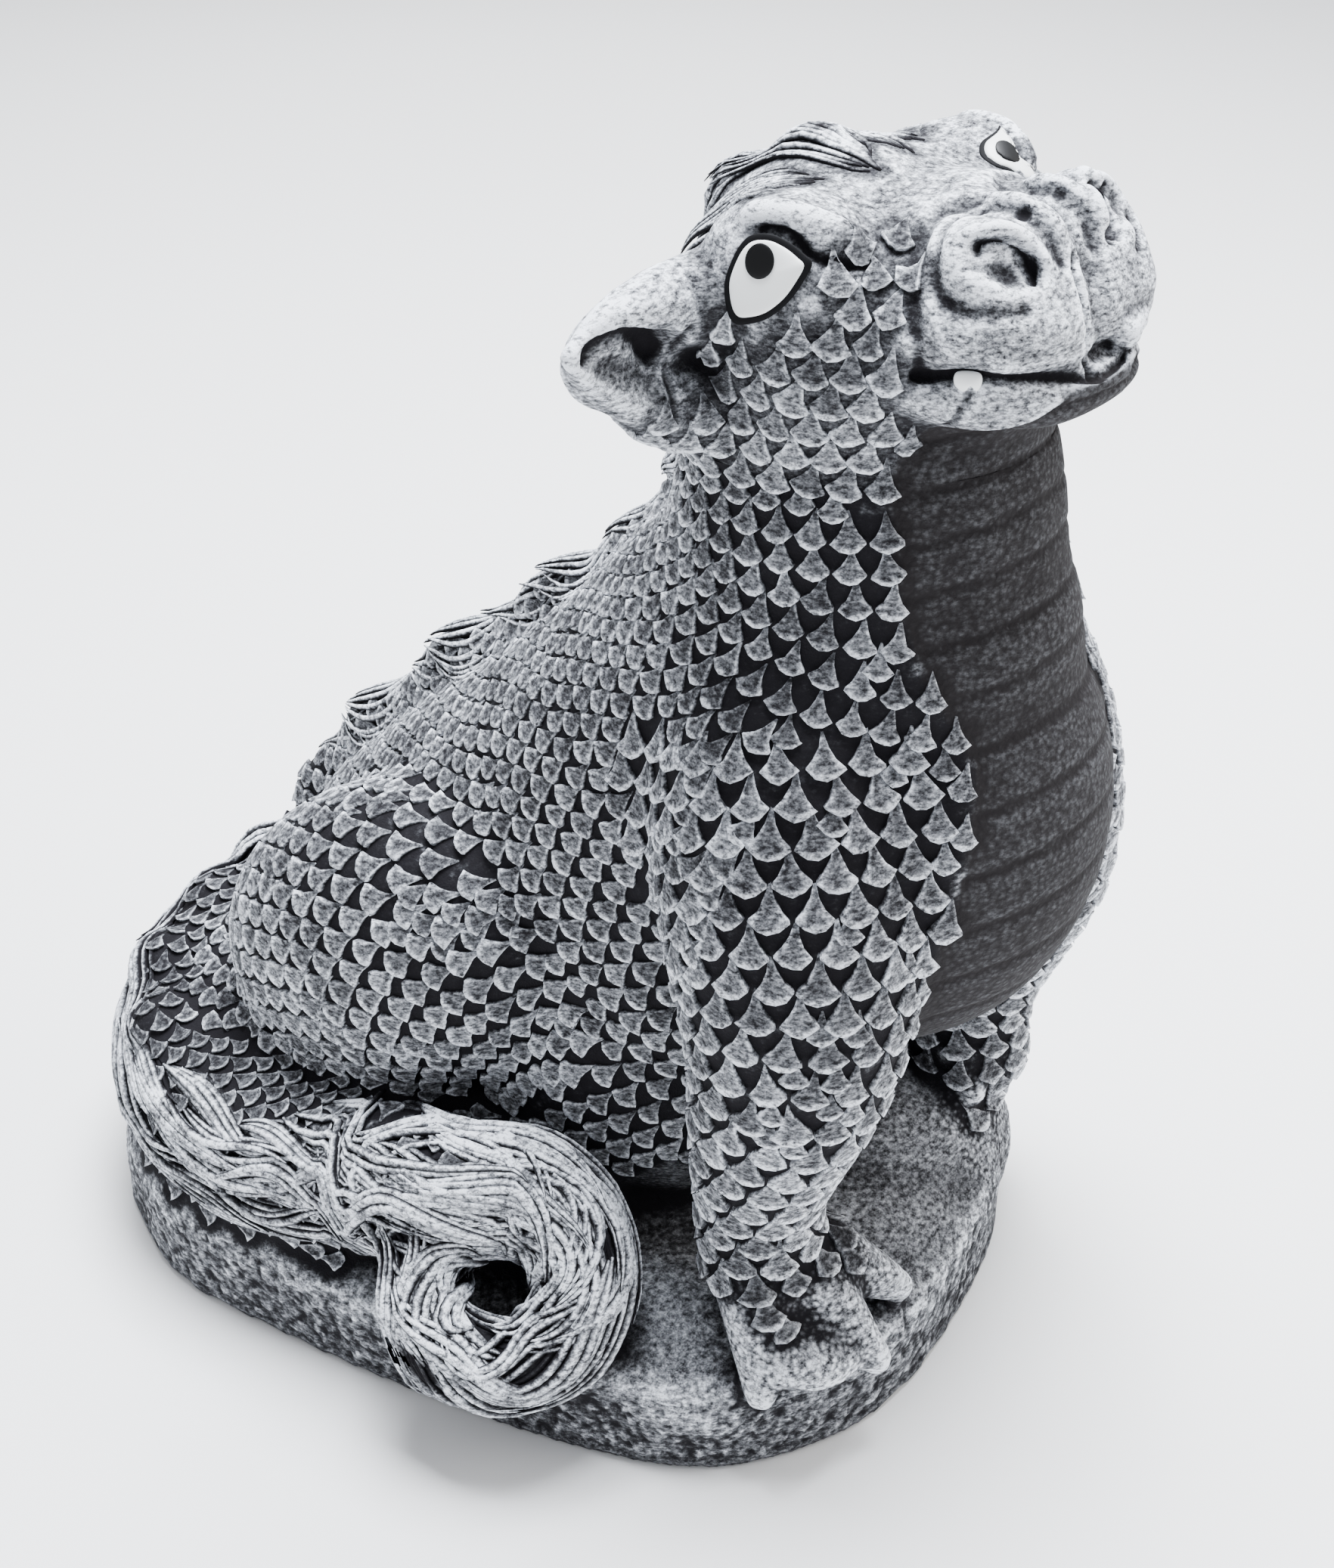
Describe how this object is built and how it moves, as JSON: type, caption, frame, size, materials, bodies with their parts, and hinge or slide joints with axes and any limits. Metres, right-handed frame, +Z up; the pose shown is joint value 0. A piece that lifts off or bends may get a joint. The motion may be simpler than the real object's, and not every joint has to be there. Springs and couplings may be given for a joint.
{
  "type": "dragon statue",
  "caption": "Seated cast-stone garden dragon with a scaled body, hairy crest and curled tail, moulded in one piece with a low rounded rock.",
  "frame": {"origin": "on the ground, under the middle of the statue's bounding box", "axes": "+Z up; the dragon faces -Y and its right side, where the tail curls, is -X"},
  "size_m": [0.2686, 0.3404, 0.3932],
  "materials": {
    "cast_stone": "dark grey cast stone, dry-brushed pale on its raised edges",
    "eye_white": "white paint on the eyes and teeth",
    "eye_black": "black paint on the pupils"
  },
  "bodies": {
    "root": {"dragon": "cast_stone"}
  },
  "joints": []
}
